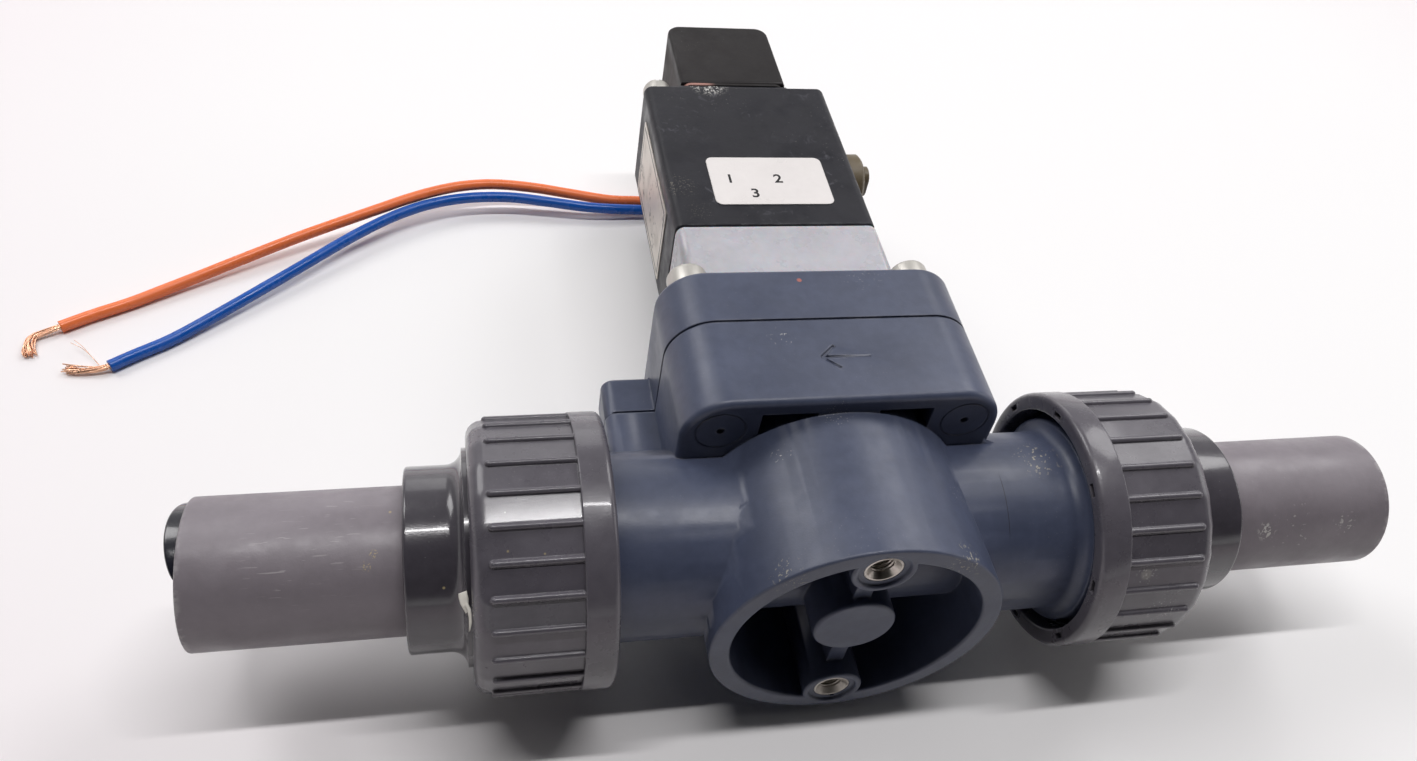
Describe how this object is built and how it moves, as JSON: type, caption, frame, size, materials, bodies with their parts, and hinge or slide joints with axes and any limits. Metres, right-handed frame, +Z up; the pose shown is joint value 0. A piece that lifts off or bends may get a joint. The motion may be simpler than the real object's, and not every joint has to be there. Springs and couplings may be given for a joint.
{
  "type": "diaphragm valve",
  "caption": "Solenoid-piloted plastic diaphragm valve with union ends and pipe stubs, square bonnet, foot cup, coil block, plug and two loose wires.",
  "frame": {"origin": "middle of the plan without the wires, on the surface that the back of the bonnet lies on", "axes": "+X along the flow axis, opposite to the flow arrow; +Y along the stem from the foot cup to the plug; +Z up from the surface"},
  "size_m": [0.3365, 0.2022, 0.0734],
  "materials": {
    "body_plastic": "satin",
    "insert_metal": "machined",
    "seal_rubber": "matte",
    "inner_steel": "brushed",
    "spring_steel": "polished",
    "screw_steel": "dull zinc",
    "milky_plastic": "translucent satin",
    "coil_plastic": "satin",
    "bobbin_plastic": "matte",
    "winding_copper": "enamelled",
    "lever_plastic": "satin",
    "plug_plastic": "satin",
    "blade_brass": "plain",
    "gasket_red": "matte",
    "orange_insulation": "satin",
    "blue_insulation": "satin",
    "strand_copper": "drawn",
    "label_paper": "satin",
    "nameplate_metal": "satin",
    "nut_plastic": "gloss",
    "tail_plastic": "gloss",
    "pipe_plastic": "extruded"
  },
  "bodies": {
    "valve": {"valve_body": "body_plastic", "foot_inserts": "insert_metal", "diaphragm": "seal_rubber", "main_spring": "spring_steel", "bonnet_cover": "body_plastic", "bonnet_screws": "screw_steel", "bonnet_washers": "screw_steel", "channel_seal": "seal_rubber", "pilot_gasket": "seal_rubber", "pilot_body": "milky_plastic", "pilot_diaphragm": "seal_rubber", "pilot_seats": "inner_steel", "rocker_pin": "inner_steel", "coil_housing": "coil_plastic", "coil_bobbin": "bobbin_plastic", "coil_winding": "winding_copper", "coil_yoke": "inner_steel", "coil_core": "inner_steel", "armature_spring": "spring_steel", "coil_screws": "screw_steel", "override_seal": "seal_rubber", "terminal_plate": "plug_plastic", "terminal_blades": "blade_brass", "plug_gasket": "gasket_red", "plug_housing": "plug_plastic", "plug_screw": "screw_steel", "gland_nut": "plug_plastic", "gland_bush": "seal_rubber", "wire_orange": "orange_insulation", "wire_blue": "blue_insulation", "orange_strands": "strand_copper", "blue_strands": "strand_copper", "front_label": "label_paper", "side_nameplate": "nameplate_metal", "inlet_o_ring": "seal_rubber", "outlet_o_ring": "seal_rubber"},
    "diaphragm_disc": {"diaphragm_plate": "inner_steel", "diaphragm_retainer": "inner_steel"},
    "armature": {"armature": "inner_steel"},
    "rocker": {"rocker": "inner_steel"},
    "override": {"override_lever": "lever_plastic"},
    "inlet_end": {"inlet_tail": "tail_plastic", "inlet_pipe": "pipe_plastic"},
    "inlet_nut": {"inlet_nut": "nut_plastic"},
    "outlet_end": {"outlet_tail": "tail_plastic", "outlet_pipe": "pipe_plastic"},
    "outlet_nut": {"outlet_nut": "nut_plastic"}
  },
  "joints": [
    {"name": "diaphragm_lift", "type": "slide", "parent": "valve", "child": "diaphragm_disc", "axis": [0, 1, 0], "range_m": [0, 0.004], "stiffness_N_per_m": 400, "deforming": ["diaphragm", "main_spring"]},
    {"name": "armature_stroke", "type": "slide", "parent": "valve", "child": "armature", "axis": [0, 1, 0], "range_m": [0, 0.001], "stiffness_N_per_m": 600, "deforming": ["armature_spring"]},
    {"name": "rocker_tilt", "type": "hinge", "parent": "valve", "child": "rocker", "pos_m": [-0.01, -0.0053, 0.0452], "axis": [0, 0, 1], "range_deg": [0, 6.2]},
    {"name": "override_turn", "type": "hinge", "parent": "valve", "child": "override", "pos_m": [0.027, 0.0412, 0.0492], "axis": [1, 0, 0], "range_deg": [0, 90]},
    {"name": "inlet_end_slide", "type": "slide", "parent": "valve", "child": "inlet_end", "axis": [1, 0, 0], "range_m": [0, 0.0121]},
    {"name": "inlet_nut_turn", "type": "hinge", "parent": "inlet_end", "child": "inlet_nut", "pos_m": [0.067, -0.0708, 0.0367], "axis": [1, 0, 0], "range_deg": [0, 1440]},
    {"name": "outlet_end_slide", "type": "slide", "parent": "valve", "child": "outlet_end", "axis": [-1, 0, 0], "range_m": [0, 0.0121]},
    {"name": "outlet_nut_turn", "type": "hinge", "parent": "outlet_end", "child": "outlet_nut", "pos_m": [-0.067, -0.0708, 0.0367], "axis": [-1, 0, 0], "range_deg": [0, 1440]}
  ],
  "couplings": [
    {"joint": "rocker_tilt", "follows": "armature_stroke", "rad_per_m": 100},
    {"joint": "inlet_end_slide", "follows": "inlet_nut_turn", "m_per_rad": 0.00047746},
    {"joint": "outlet_end_slide", "follows": "outlet_nut_turn", "m_per_rad": 0.00047746}
  ]
}
